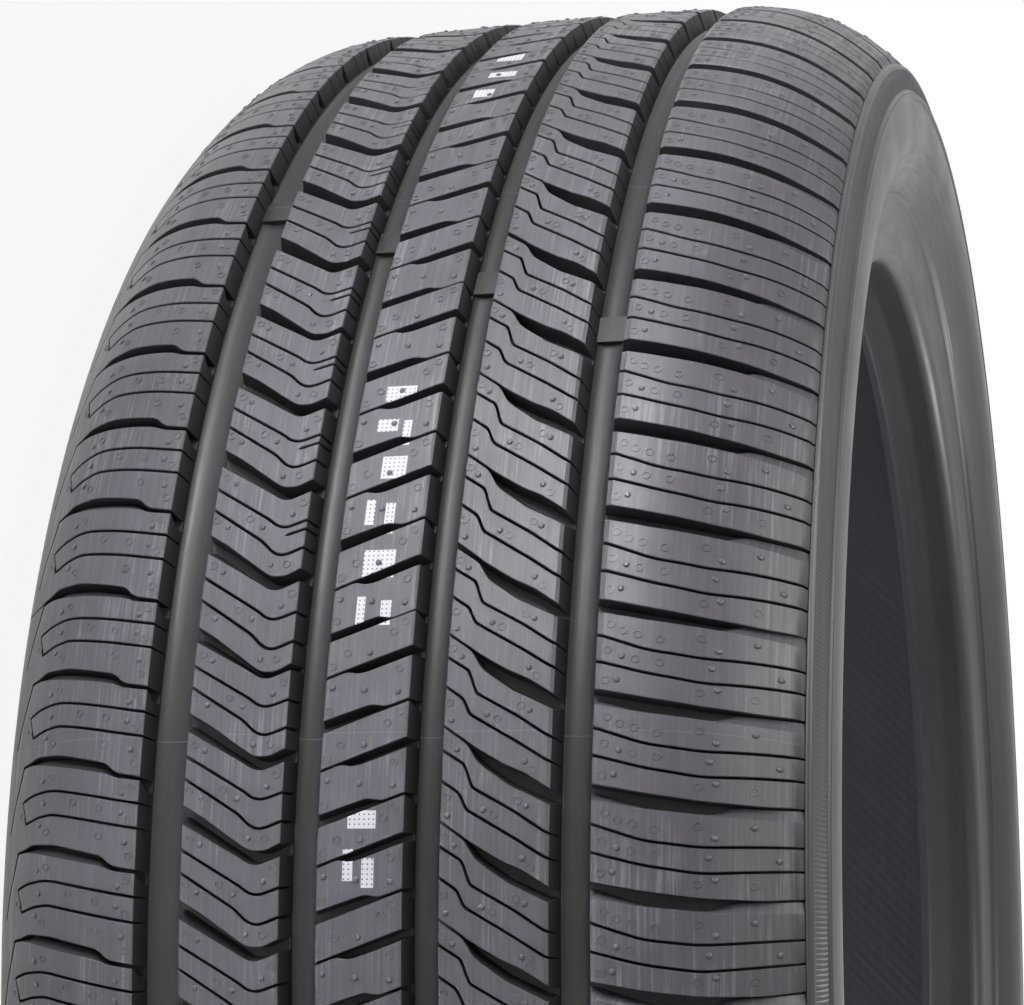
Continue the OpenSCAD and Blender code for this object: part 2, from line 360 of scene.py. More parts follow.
class MeshMaker:
    """Gathers points and faces for one mesh."""

    def __init__(self) -> None:
        """Starts with nothing."""
        self.points: list[np.ndarray] = []
        self.faces: list[tuple[int, ...]] = []
        self.slots: list[int] = []
        self.count = 0

    def add_points(self, points: np.ndarray) -> int:
        """Adds points and returns the number of the first."""
        start = self.count
        self.points.append(np.asarray(points, float).reshape(-1, 3))
        self.count += len(self.points[-1])
        return start

    def add_face(self, corners: Sequence[int], slot: int = 0) -> None:
        """Adds one face, which takes the material in that slot."""
        self.faces.append(tuple(int(c) for c in corners))
        self.slots.append(slot)

    def add_tube(self, stations: np.ndarray, closed: bool = False,
                 slots: Sequence[int] = ()) -> None:
        """Skins a row of closed outlines, with a cap at each end unless the row is closed.

        Args:
            stations: Points as [station, corner of the outline, xyz].
            closed: True if the last outline joins the first.
            slots: Material slot of each side of the outline, or nothing for slot 0.
        """
        rows, corners = stations.shape[:2]
        start = self.add_points(stations)
        for j in range(rows if closed else rows - 1):
            a, b = start + j * corners, start + (j + 1) % rows * corners
            for i in range(corners):
                n = (i + 1) % corners
                self.add_face((a + i, a + n, b + n, b + i), slots[i] if len(slots) else 0)
        if not closed:
            last = start + (rows - 1) * corners
            end = slots[0] if len(slots) else 0
            self.add_face(range(start + corners - 1, start - 1, -1), end)
            self.add_face(range(last, last + corners), end)

    def build(self, name: str, sharp: float = 26.0) -> bpy.types.Object:
        """Makes the object, smooth but for edges sharper than an angle."""
        mesh = bpy.data.meshes.new(name)
        mesh.from_pydata(np.concatenate(self.points).tolist(), [], self.faces)
        mesh.polygons.foreach_set("material_index", self.slots)
        mesh.polygons.foreach_set("use_smooth", [True] * len(mesh.polygons))
        mesh.update()
        mesh.set_sharp_from_angle(angle=math.radians(sharp))
        made = bpy.data.objects.new(name, mesh)
        bpy.context.scene.collection.objects.link(made)
        return made


@dataclass
class Rib:
    """One rib of the tread: the blocks between its cuts in one pitch, with their vent marks.

    Rings and nubs are places along the axis and shares of the pitch. Splits are thin lines that
    part a block, as places along its two cuts, by the number of the cut before it.
    """

    name: str
    low: float
    high: float
    cuts: list[Cut]
    rings: Line
    nubs: Line
    form: TreadForm
    ring: PitchRing
    low_chamfer: Point = (0.35, 0.3)
    high_chamfer: Point = (0.35, 0.3)
    low_drafted: bool = True
    high_drafted: bool = True
    stub: Slit | None = None
    splits: dict[int, tuple[Point, ...]] = field(default_factory=dict)
    split_half: float = 0.22
    split_chamfer: Point = (0.08, 0.08)
    step: float = 1.5
    bevel: float = 0.22
    closed_bevel: float = 0.02
    sink: float = 0.5

    @property
    def pitch(self) -> float:
        """Length of a medium pitch on the crown."""
        return self.ring.pitch_mm(self.form.outer_r)

    def flank(self, cut: Cut, wall: int, turn: float, z: float, out: float,
              drop: float) -> list[Spot]:
        """Runs down one side of a block at a place along the axis, from the top to the foot.

        Args:
            cut: The cut on that side.
            wall: Which of the cut's walls it is: 1 at the block's start and 0 at its end.
            turn: Pitches by which the cut lies further on.
            z: The place at the top.
            out: How far the foot lies further along the axis than the top.
            drop: How far the top lies below the tread's surface.

        Returns:
            Points as [round the tyre, along the axis, radius].
        """
        into = -1 if wall else 1
        edge, foot = ((cut.sides(np.array([q]), self.pitch)[wall][0] + turn) * self.pitch
                      for q in (z, z + out))
        opened = cut.open_at(z)
        bevel = self.bevel if opened else self.closed_bevel
        run = cut.runs(np.array([z]))[wall][0] * opened
        surface = float(self.form.radius(z))
        reach = float(self.form.depth(z)) + self.sink
        points = [(edge - into * bevel, z, surface - drop), (edge, z, surface - drop - bevel)]
        if wall:
            # A slit's wall leans evenly, and a channel's drops from the end of its slope.
            ledge = cut.ledge(z, reach - self.sink - drop)
            share = 0.5 if isinstance(cut, Slit) else 1.0
            points.append((edge + into * run * share, z + out * ledge / (reach - drop),
                           surface - drop - ledge))
        return [*points, (foot + into * run, z + out, surface - reach)]

    def block(self, made: MeshMaker, before: Cut, after: Cut, turn: float,
              low: Point | None = None, high: Point | None = None) -> None:
        """Builds the block between two cuts.

        Args:
            made: The mesh that gets it.
            before: The cut at the block's start.
            after: The cut at its end.
            turn: Pitches by which the second cut lies further on.
            low: Place of the block's lower end along its two cuts, if not the rib's edge.
            high: Place of its upper end along its two cuts, if not the rib's edge.
        """
        foot = self.form.draft * self.form.cut_depth
        low_chamfer, low_run = ((self.split_chamfer, 0.0) if low
                                else (self.low_chamfer, foot * self.low_drafted))
        high_chamfer, high_run = ((self.split_chamfer, 0.0) if high
                                  else (self.high_chamfer, foot * self.high_drafted))
        low, high = low or (self.low, self.low), high or (self.high, self.high)
        parts = max(2, math.ceil((max(high) - min(low)) / self.step))
        starts, ends = [z + low_chamfer[0] for z in low], [z - high_chamfer[0] for z in high]
        places = [(low, -low_run, low_chamfer[1])]
        places += [([a + (b - a) * t for a, b in zip(starts, ends)], 0.0, 0.0)
                   for t in np.linspace(0, 1, parts + 1)]
        places.append((high, high_run, high_chamfer[1]))
        # Walls take the darker rubber, which is painted shade in the cuts.
        wall, top = Part.WALL.value, Part.TOP.value
        made.add_tube(np.array([
            self.flank(before, 1, 0.0, z[0], out, drop)[::-1]
            + self.flank(after, 0, turn, z[1], out, drop) for z, out, drop in places]),
            slots=(wall, top if before.ramp else wall, top, top, top, wall, wall))

    def mark(self, made: MeshMaker, kind: Mark, at: float, share: float, sides: int = 8) -> None:
        """Adds one vent mark to a tile."""
        angles = np.arange(sides) / sides * 2 * math.pi
        rows = []
        for radius, height in kind.value:
            z = at + radius * np.sin(angles)
            x = share * self.pitch + radius * np.cos(angles)
            rows.append(np.stack([x, z, self.form.radius(z) + height], axis=-1))
        made.add_tube(np.array(rows), kind is Mark.RING, [Part.MARK.value] * sides)

    def tile(self, name: str, with_stub: bool) -> bpy.types.Object:
        """Builds one pitch of the rib, laid flat as [round the tyre, along the axis, radius]."""
        made = MeshMaker()
        cuts = [cut for cut in self.cuts if with_stub or cut is not self.stub]
        for i, cut in enumerate(cuts):
            last = i == len(cuts) - 1
            after, turn = (cuts[0], 1.0) if last else (cuts[i + 1], 0.0)
            half = self.split_half
            edges = [None, *self.splits.get(i, ()), None]
            for low, high in zip(edges, edges[1:]):
                self.block(made, cut, after, turn, low and (low[0] + half, low[1] + half),
                           high and (high[0] - half, high[1] - half))
        for kind, places in ((Mark.RING, self.rings), (Mark.NUB, self.nubs)):
            for at, share in places:
                self.mark(made, kind, at, share)
        piece = made.build(name)
        kinds = piece.data.attributes.new("part", "FLOAT", "FACE")
        kinds.data.foreach_set("value", [float(s) for s in made.slots])
        return piece


class PitchTree:
    """A node tree that repeats a flat tile round the tyre in pitches of three lengths."""

    INPUTS = {
        "Int": ("Count",),
        "Float": ("Waves", "Short", "Long", "Wave start", "First at", "Threshold", "Tile length"),
        "Object": ("Tile", "Short tile"),
        "Material": ("Rubber", "Wall rubber", "Mark rubber")}

    def __init__(self) -> None:
        """Builds the tree once for all pieces."""
        self.tree = bpy.data.node_groups.new("pitches_round_the_tyre", "GeometryNodeTree")
        face = self.tree.interface
        for way in ("INPUT", "OUTPUT"):
            face.new_socket(name="Geometry", in_out=way, socket_type="NodeSocketGeometry")
        for kind, names in self.INPUTS.items():
            for name in names:
                face.new_socket(name=name, in_out="INPUT", socket_type="NodeSocket" + kind)
        self.build()

    def build(self) -> None:
        """Lays the nodes: pitch lengths, running angle, tiles, bending round the axis, material."""
        t = self.tree
        given = add_node(t, "NodeGroupInput").outputs
        index = add_node(t, "GeometryNodeInputIndex")
        waves = []
        # The wave is read at a pitch and at the next one, since a tile's stub lies in the next.
        for ahead in (0.0, 1.0):
            pitch = add_node(t, MATH, ADD, (index, ahead))
            place = add_node(t, MATH, DIVIDE, (pitch, given["Count"]))
            turns = add_node(t, MATH, MULTIPLY, (place, given["Waves"]))
            turn = add_node(t, MATH, MULTIPLY, (turns, 2 * math.pi))
            phase = add_node(t, MATH, ADD, (turn, given["Wave start"]))
            waves.append(add_node(t, MATH, SINE, (phase,)))
        least = add_node(t, MATH, MULTIPLY, (given["Threshold"], -1.0))
        is_long = add_node(t, MATH, GREATER, (waves[0], given["Threshold"]))
        is_short, short_next = (add_node(t, MATH, LESS, (wave, least)) for wave in waves)
        weight = 1.0
        for chosen, length in ((is_long, given["Long"]), (is_short, given["Short"])):
            extra = add_node(t, MATH, SUBTRACT, (length, 1.0))
            weight = add_node(t, MATH, ADD, (weight, add_node(t, MATH, MULTIPLY, (chosen, extra))))
        run = add_node(t, "GeometryNodeAccumulateField", FLOAT, {"Value": weight})
        scale = add_node(t, MATH, DIVIDE, (2 * math.pi, run.outputs["Total"]))
        passed = add_node(t, MATH, MULTIPLY, (run.outputs["Trailing"], scale))
        start = add_node(t, MATH, ADD, (passed, given["First at"]))
        width = add_node(t, MATH, MULTIPLY, (weight, scale))
        line = add_node(t, "GeometryNodeMeshLine", {"mode": "OFFSET"},
                        {"Count": given["Count"], "Offset": (0.0, 0.0, 0.0)})
        for name, value in (("pitch_start", start), ("pitch_turn", width),
                            ("pitch_short", short_next)):
            line = add_node(t, "GeometryNodeStoreNamedAttribute", {**FLOAT, "domain": "POINT"},
                            {"Geometry": line, "Name": name, "Value": value})
        start, width, short, kind = (
            add_node(t, "GeometryNodeInputNamedAttribute", FLOAT, {"Name": name})
            for name in ("pitch_start", "pitch_turn", "pitch_short", "part"))
        joined = add_node(t, "GeometryNodeJoinGeometry")
        for name, side in (("Tile", LESS), ("Short tile", GREATER)):
            shape = add_node(t, "GeometryNodeObjectInfo", {}, {"Object": given[name]})
            laid = add_node(t, "GeometryNodeInstanceOnPoints", {}, {
                "Points": line, "Selection": add_node(t, MATH, side, (short, 0.5)),
                "Instance": shape.outputs["Geometry"]})
            t.links.new(laid.outputs[0], joined.inputs[0])
        real = add_node(t, "GeometryNodeRealizeInstances", {}, (joined,))
        position = add_node(t, "GeometryNodeInputPosition")
        flat = add_node(t, "ShaderNodeSeparateXYZ", {}, (position,)).outputs
        share = add_node(t, MATH, DIVIDE, (flat["X"], given["Tile length"]))
        angle = add_node(t, MATH, ADD, (start, add_node(t, MATH, MULTIPLY, (share, width))))
        radius = add_node(t, MATH, MULTIPLY, (flat["Z"], MM))
        across = [add_node(t, MATH, MULTIPLY, (radius, add_node(t, MATH, way, (angle,))))
                  for way in (COSINE, SINE)]
        bent = add_node(t, "ShaderNodeCombineXYZ", {}, (
            *across, add_node(t, MATH, MULTIPLY, (flat["Y"], MM))))
        shape = add_node(t, "GeometryNodeSetPosition", {}, {"Geometry": real, "Position": bent})
        # Walls get a darker rubber, which is painted shade, and vent marks a lighter one, which is
        # painted highlight.
        for name, level in (("Rubber", -1.0), ("Wall rubber", 0.5), ("Mark rubber", 1.5)):
            shape = add_node(t, "GeometryNodeSetMaterial", {}, {
                "Geometry": shape, "Selection": add_node(t, MATH, GREATER, (kind, level)),
                "Material": given[name]})
        add_node(t, "NodeGroupOutput", {}, {"Geometry": shape})

    def repeat(self, name: str, tile: bpy.types.Object, short_tile: bpy.types.Object, length: float,
               ring: PitchRing, rubbers: Sequence[bpy.types.Material]) -> bpy.types.Object:
        """Repeats a tile round the tyre and returns the plain mesh object.

        Args:
            name: Name of the piece.
            tile: Flat tile for medium and long pitches.
            short_tile: Flat tile for short pitches.
            length: Length of a medium pitch as the tile is laid out.
            ring: Order of the pitches.
            rubbers: Materials of the tops, the walls and the vent marks.

        Returns:
            A new object at the origin, with no modifier.
        """
        carrier = bpy.data.objects.new(name + "_carrier", bpy.data.meshes.new(name + "_carrier"))
        bpy.context.scene.collection.objects.link(carrier)
        modifier = carrier.modifiers.new("pitches", "NODES")
        modifier.node_group = self.tree
        values = {"Count": ring.count, "Waves": float(ring.waves), "Short": ring.short,
                  "Long": ring.long, "Wave start": math.radians(ring.wave_start),
                  "First at": math.radians(ring.first_at), "Threshold": ring.threshold,
                  "Tile length": length, "Tile": tile, "Short tile": short_tile,
                  "Rubber": rubbers[0], "Wall rubber": rubbers[1], "Mark rubber": rubbers[2]}
        for item in self.tree.interface.items_tree:
            if item.in_out == "INPUT" and item.name in values:
                modifier[item.identifier] = values[item.name]
        bpy.context.view_layer.update()
        evaluated = carrier.evaluated_get(bpy.context.evaluated_depsgraph_get())
        mesh = bpy.data.meshes.new_from_object(evaluated)
        mesh.name = name
        carrier.modifiers.clear()
        piece = bpy.data.objects.new(name, mesh)
        bpy.context.scene.collection.objects.link(piece)
        for spare in {carrier, tile, short_tile}:
            bpy.data.objects.remove(spare)
        return piece


@dataclass(frozen=True)
class Stamp:
    """A bar of dotted marking ink on the tread, in degrees round the axis and places along it."""

    first_at: float
    last_at: float
    low: float
    high: float


INK_BARS = tuple(Stamp(*bar) for bar in (
    (-146.4, -145.2, -5.0, 3.5), (-143.2, -142.4, -4.0, 5.0), (-140.6, -139.6, -5.5, 1.0),
    (-115.8, -114.9, -4.5, 4.2), (-113.9, -113.2, -5.6, 0.4), (-113.8, -112.4, 2.0, 4.4),
    (-111.8, -110.6, -2.5, 4.6), (-109.5, -108.2, -5.4, -2.8), (-109.3, -107.7, 0.2, 3.0),
    (-106.9, -105.5, -4.4, 4.6), (-104.6, -103.0, -5.0, -2.6), (-104.4, -103.2, 1.8, 4.8),
    (-94.7, -93.9, -3.6, 4.2), (-93.0, -91.6, -4.6, -1.8), (-92.6, -91.3, 0.6, 4.0)))


@dataclass(frozen=True)
class Rubber:
    """Moulded carbon-black rubber: dull and dark, with fine turning marks of the mould."""

    name: str
    colour: str
    light: str
    roughness: float
    roughness_swing: float = 0.05
    grain_mm: float = 0.5
    bump_mm: float = 0.03
    turning_mm: float = 0.8
    streak_mm: float = 30.0
    cloud_mm: float = 60.0
    dust_mm: float = 35.0
    bloom: float = 0.0
    bloom_and_glint_colour: str = "8d8b90"
    parting: bool = False
    cord_mm: float = 0.0
    # Metres that a cord runs along the axis for each radian round it.
    cord_turn_m: float = 0.32
    ink: tuple[Stamp, ...] = ()
    ink_colour: str = "e4e4e8"
    ink_roughness: float = 0.7
    dot_mm: float = 1.3
    # Sum of the two dot waves under which no ink lies, from -2 for none bare to 2 for all.
    ink_gap: float = -1.45
    crown_mm: float = 339.0
    parting_at: float = -98.2
    # Half the width of a mould seam in radians.
    parting_half: float = 0.0006
    segments: int = 11

    def seam(self, t: bpy.types.NodeTree, angle: bpy.types.Node) -> bpy.types.Node:
        """Marks the thin seams that the mould's segments leave across the tread."""
        half = math.pi / self.segments
        turned = add_node(t, MATH, SUBTRACT, (angle, math.radians(self.parting_at)))
        away = add_node(t, MATH, WRAP, (turned, half, -half))
        return add_node(t, MATH, COMPARE, (away, 0.0, self.parting_half))

    def stamped(self, t: bpy.types.NodeTree, angle: bpy.types.Node,
                z: bpy.types.NodeSocket) -> bpy.types.Node:
        """Marks the inked bars, broken up into rows of dots as a stamping wheel prints them."""
        inked: object = 0.0
        for bar in self.ink:
            middle, half = (bar.first_at + bar.last_at) / 2, (bar.last_at - bar.first_at) / 2
            round_it = add_node(t, MATH, COMPARE, (angle, math.radians(middle), math.radians(half)))
            along = add_node(t, MATH, COMPARE, (
                z, (bar.low + bar.high) / 2 * MM, (bar.high - bar.low) / 2 * MM))
            hit = add_node(t, MATH, MULTIPLY, (round_it, along))
            inked = add_node(t, MATH, MAXIMUM, (inked, hit))
        waves = []
        for place, step in ((angle, self.dot_mm / self.crown_mm), (z, self.dot_mm * MM)):
            phase = add_node(t, MATH, MULTIPLY, (place, 2 * math.pi / step))
            waves.append(add_node(t, MATH, SINE, (phase,)))
        dots = add_node(t, MATH, GREATER, (add_node(t, MATH, ADD, waves), self.ink_gap))
        return add_node(t, MATH, MULTIPLY, (inked, dots))

    def build(self) -> bpy.types.Material:
        """Makes the material.

        Returns:
            A node material that reads Object coordinates.
        """
        made = bpy.data.materials.new(self.name)
        made.use_nodes = True
        t = made.node_tree
        shader = t.nodes["Principled BSDF"]
        place = add_node(t, "ShaderNodeTexCoord").outputs["Object"]
        at = add_node(t, "ShaderNodeSeparateXYZ", {}, (place,)).outputs
        angle = add_node(t, MATH, ARCTAN2, (at["Y"], at["X"]))
        # Cloudy patches keep the rubber from looking like flat paint.
        cloud = add_node(t, NOISE, {}, {
            "Vector": place, "Scale": 1 / (self.cloud_mm * MM), "Detail": 4.0, "Roughness": 0.6})
        # Turning marks of the mould run round the tyre, so their noise is squeezed along the axis.
        drawn = add_node(t, "ShaderNodeMapping", {}, {"Vector": place, "Scale": tuple(
            1 / (step * MM) for step in (self.streak_mm, self.streak_mm, self.turning_mm))})
        turned = add_node(t, NOISE, {}, {"Vector": drawn, "Scale": 1.0, "Detail": 2.0})
        height = add_node(t, MATH, MULTIPLY, (turned, TURNING_BUMP))
        halves = [add_node(t, MATH, MULTIPLY, (noise, 0.5)) for noise in (cloud, turned)]
        spread = add_node(t, MAP, {}, {
            "Value": add_node(t, MATH, ADD, halves), "From Min": 0.35, "From Max": 0.65})
        colour = add_node(t, MIX, COLOUR, {0: spread, 6: srgb(self.colour), 7: srgb(self.light)})
        if self.bloom:
            # Wax bloom and mould release lie on the tread as pale dust in broken streaks.
            patch = add_node(t, NOISE, {}, {
                "Vector": place, "Scale": 1 / (self.dust_mm * MM), "Detail": 6.0, "Roughness": 0.7})
            dusty = add_node(t, MAP, {}, {
                "Value": add_node(t, MATH, MULTIPLY, (patch, turned)), "From Min": 0.3,
                "From Max": 0.44, "To Max": self.bloom})
            colour = add_node(t, MIX, COLOUR, {0: dusty, 6: colour, 7: srgb(self.bloom_and_glint_colour)})
        # Fine grain of the cured surface.
        grain = add_node(t, NOISE, {}, {
            "Vector": place, "Scale": 1 / (self.grain_mm * MM), "Detail": 2.0})
        height = add_node(t, MATH, ADD, (grain, height))
        if self.cord_mm:
            # The cords under the liner press through as soft slanted ribs.
            run = add_node(t, MATH, ADD, (
                add_node(t, MATH, MULTIPLY, (angle, self.cord_turn_m)), at["Z"]))
            phase = add_node(t, MATH, MULTIPLY, (run, 2 * math.pi / (self.cord_mm * MM)))
            cords = add_node(t, MATH, SINE, (phase,))
            height = add_node(t, MATH, ADD, (
                height, add_node(t, MATH, MULTIPLY, (cords, CORD_BUMP))))
        if self.parting:
            # Each mould joint leaves a hair of flash, and its pale tint is a painted highlight
            # where the flash catches the light.
            seam = self.seam(t, angle)
            pale = add_node(t, MATH, MULTIPLY, (seam, SEAM_HIGHLIGHT_TINT))
            colour = add_node(t, MIX, COLOUR, {0: pale, 6: colour, 7: srgb(self.bloom_and_glint_colour)})
            height = add_node(t, MATH, ADD, (
                height, add_node(t, MATH, MULTIPLY, (seam, SEAM_BUMP))))
        # Where the rubber is darker it is a little duller.
        rough = add_node(t, MAP, {}, {
            "Value": spread, "To Min": self.roughness + self.roughness_swing,
            "To Max": self.roughness - self.roughness_swing})
        if self.ink:
            inked = self.stamped(t, angle, at["Z"])
            colour = add_node(t, MIX, COLOUR, {0: inked, 6: colour, 7: srgb(self.ink_colour)})
            rough = add_node(t, MATH, MAXIMUM, (
                rough, add_node(t, MATH, MULTIPLY, (inked, self.ink_roughness))))
        bump = add_node(t, "ShaderNodeBump", {}, {
            "Height": height, "Strength": 0.5, "Distance": self.bump_mm * MM})
        t.links.new(colour.outputs[2], shader.inputs["Base Color"])
        t.links.new(rough.outputs[0], shader.inputs["Roughness"])
        t.links.new(bump.outputs[0], shader.inputs["Normal"])
        shader.inputs["IOR"].default_value = RUBBER_IOR
        return made


class Skin(Enum):
    """Kinds of surface on the carcass, as the numbers of its material slots."""

    BASE = 0
    GROOVE = 1
    SIDE = 2
    LINER = 3


Run = tuple[Skin, list[Point]]


@dataclass
class Carcass:
    """The revolved body: groove floors, the base under the blocks, sidewalls, beads and liner.

    Its outline starts at the lower shoulder and runs up the tread, down the upper side, through the
    inside and out again over the lower side.
    """

    form: TreadForm
    half_w: float
    tuck: float = 0.0
    rib_inset: float = 0.15
    edge_inset: float = 0.6
    base_step: float = 8.0
    groove_points: int = 11
    parts: int = 200
    sharp: float = 30.0

    @property
    def foot(self) -> float:
        """How far a groove wall's foot stands in from the groove's edge, under the rib's."""
        return self.form.draft * self.form.cut_depth - self.rib_inset

    def groove(self, g: Groove) -> list[Point]:
        """Rounded floor of a groove between the feet of its walls, as [radius, z]."""
        half = g.width / 2 - self.foot
        top = float(self.form.radius(g.middle)) - self.form.cut_depth
        deep = self.form.groove_depth - self.form.cut_depth
        turns = np.linspace(-math.pi / 2, math.pi / 2, self.groove_points)
        return [(top - deep * math.cos(a), g.middle + half * math.sin(a)) for a in turns]

    def base(self, low: float, high: float) -> list[Point]:
        """Floor of the cuts under a rib, as [radius, z]."""
        z = np.linspace(low, high, max(3, math.ceil((high - low) / self.base_step)))
        r = self.form.radius(z) - self.form.depth(z)
        return list(zip(r.tolist(), z.tolist()))

    def tread(self) -> list[Run]:
        """Runs of the outline across the tread."""
        edge = self.form.shoulder_at - self.edge_inset
        low, runs = -edge, []
        for g in self.form.grooves:
            runs += [(Skin.BASE, self.base(low, g.low + self.foot)), (Skin.GROOVE, self.groove(g))]
            low = g.high - self.foot
        return [*runs, (Skin.BASE, self.base(low, edge))]

    def wall(self, tuck: float) -> list[Run]:
        """Runs of one side from the shoulder line to the bead toe, for positive z.

        Args:
            tuck: How far the band beside the shoulder is drawn in.

        Returns:
            The runs of the outline.
        """
        # Places are given from the shoulder line's radius, e, and half the tyre's width, w.
        e, w = float(self.form.radius(self.form.shoulder_at)), self.half_w
        band_r, band_w = e - BAND_FALL * tuck, -tuck
        # Each run is a smooth curve in so many parts, and the runs meet at corners.
        curves = (
            # The serrated band.
            (2, [(band_r - 0.9, band_w + 113.2), (band_r - 1.3, band_w + 113.6),
                 (band_r - 1.2, band_w + 114.4), (band_r - 1.9, band_w + 115.0),
                 (band_r - 2.9, band_w + 115.2)]),
            (4, [(band_r - 2.9, band_w + 115.2), (e - 6.5 - 0.3 * tuck, 116.4 - tuck / 2),
                 (e - 10.8, 117.5)]),
            # The ridge.
            (3, [(e - 10.8, 117.5), (e - 11.4, 118.3), (e - 12.6, 118.6), (e - 13.6, 118.0)]),
            # The flank down to the rim line.
            (4, [(e - 13.6, 118.0), (297.0, w - 0.3), (291.0, w), (285.0, w - 0.6),
                 (279.0, w - 2.8), (273.5, w - 6.4), (270.2, w - 9.0)]),
            (3, [(270.2, w - 9.0), (269.2, w - 9.1), (268.5, w - 10.3), (267.4, w - 11.4)]),
            # The bead with its heel, seat and toe.
            (2, [(267.4, w - 11.4), (262.0, w - 12.0), (256.0, w - 13.0), (249.5, w - 13.6)]),
            (3, [(249.5, w - 13.6), (246.2, w - 15.0), (244.3, w - 17.4), (243.7, w - 20.0)]),
            (1, [(243.7, w - 20.0), (243.7, w - 26.8)]),
            (2, [(243.7, w - 26.8), (242.6, w - 32.2), (241.6, w - 36.6), (241.3, w - 37.5)]))
        lip = [(241.3, w - 37.5), (242.5, w - 38.7), (248.7, w - 42.0)]
        runs = [(Skin.SIDE, curve_through(points, steps)) for steps, points in curves]
        return [*runs, (Skin.LINER, lip)]

    def liner(self) -> Run:
        """Run of the inside from the upper bead toe to the lower one."""
        w = self.half_w
        half = [(248.7, w - 42.0), (259.0, w - 32.6), (268.7, w - 24.0), (279.4, w - 13.5),
                (292.2, w - 9.6), (301.2, w - 12.7), (311.6, w - 21.0), (319.3, w - 32.2),
                (322.2, w - 42.0), (325.3, w - 88.2)]
        mirrored = [(r, -z) for r, z in reversed(half)]
        return Skin.LINER, curve_through(half + mirrored, 2)

    def outline(self) -> list[Run]:
        """All runs of the section in order, closed on itself."""
        lower = [(skin, [(r, -z) for r, z in reversed(run)])
                 for skin, run in reversed(self.wall(self.tuck))]
        return [*self.tread(), *self.wall(0.0), self.liner(), *lower]

    def build(self, rubbers: dict[Skin, bpy.types.Material]) -> bpy.types.Object:
        """Turns the section round the axis.

        Args:
            rubbers: Material of each kind of surface.

        Returns:
            The carcass as one closed mesh object in metres.
        """
        points: list[Point] = []
        slots: list[int] = []
        for skin, run in self.outline():
            for p in run:
                if points and math.dist(points[-1], p) < SAME_POINT:
                    continue
                if points:
                    slots.append(skin.value)
                points.append(p)
        slots.append(Skin.BASE.value)
        # The angles run backwards so that the faces look outward.
        angles = -np.arange(self.parts) / self.parts * 2 * math.pi
        radius, z = np.array(points).T
        made = MeshMaker()
        made.add_tube(np.stack([
            np.outer(np.cos(angles), radius), np.outer(np.sin(angles), radius),
            np.tile(z, (self.parts, 1))], axis=-1) * MM, closed=True, slots=slots)
        piece = made.build("tyre_body", self.sharp)
        for skin in Skin:
            piece.data.materials.append(rubbers[skin])
        return piece


@dataclass
class WearBars:
    """Raised bars across the groove floors that show when the tread is worn out."""

    form: TreadForm
    per_groove: int = 6
    height: float = 1.6
    turn: float = 1.6
    first_at: float = -131.3
    step: float = 3.6
    root: float = 1.0
    overlap: float = 0.3
    stations: int = 5

    def build(self, tree: PitchTree, rubber: bpy.types.Material) -> bpy.types.Object:
        """Lays one bar in each groove, in degrees round the tyre, and repeats the set.

        Args:
            tree: The tree that repeats a tile.
            rubber: Material of the bars.

        Returns:
            All bars as one object.
        """
        made = MeshMaker()
        for k, g in enumerate(self.form.grooves):
            top = float(self.form.radius(g.middle)) - self.form.groove_depth + self.height
            deep = self.form.groove_depth - self.height
            half = g.width / 2 - self.form.draft * deep + self.overlap
            foot = half - self.form.draft * (self.height + self.root)
            low = top - self.height - self.root
            made.add_tube(np.array([
                [(at, g.middle - half, top), (at, g.middle + half, top), (at, g.middle + foot, low),
                 (at, g.middle - foot, low)]
                for at in k * self.step + np.linspace(self.turn, 0, self.stations)]))
        ring = PitchRing(count=self.per_groove, short=1.0, long=1.0, first_at=self.first_at)
        tile = made.build("wear_bars_tile")
        return tree.repeat("wear_bars", tile, tile, 360 / self.per_groove, ring, [rubber] * 3)


@dataclass
class Serration:
    """Fine teeth round one shoulder band, in rows of [drop from the shoulder's radius, z]."""

    form: TreadForm
    side: int
    rows: tuple[tuple[Point, Point], ...]
    teeth: int = 1440
    height: float = 0.16
    gap: float = 0.08
    sink: float = 0.5
    bulge: float = 0.02

    def build(self, name: str, tree: PitchTree, rubber: bpy.types.Material) -> bpy.types.Object:
        """Lays one tooth of each row and repeats it round the tyre.

        Args:
            name: Name of the piece.
            tree: The tree that repeats a tile.
            rubber: Material of the teeth.

        Returns:
            All teeth of this side as one object.
        """
        edge_r = float(self.form.radius(self.form.shoulder_at))
        made = MeshMaker()
        for near, far in self.rows:
            bulge = self.bulge * math.dist(near, far)
            middle = ((near[0] + far[0]) / 2, (near[1] + far[1]) / 2 + bulge)
            stations = []
            for at, lift in ((1 - self.gap, 0.0), (0.5, self.height), (self.gap, 0.0)):
                corners = [(drop, z + lift) for drop, z in (near, middle, far)]
                corners += [(drop, z - self.sink) for drop, z in (far, near)]
                stations.append([(at, z * self.side, edge_r - drop)
                                 for drop, z in corners[::self.side]])
            made.add_tube(np.array(stations))
        ring = PitchRing(count=self.teeth, short=1.0, long=1.0)
        tile = made.build(name + "_tile")
        return tree.repeat(name, tile, tile, 1.0, ring, [rubber] * 3)


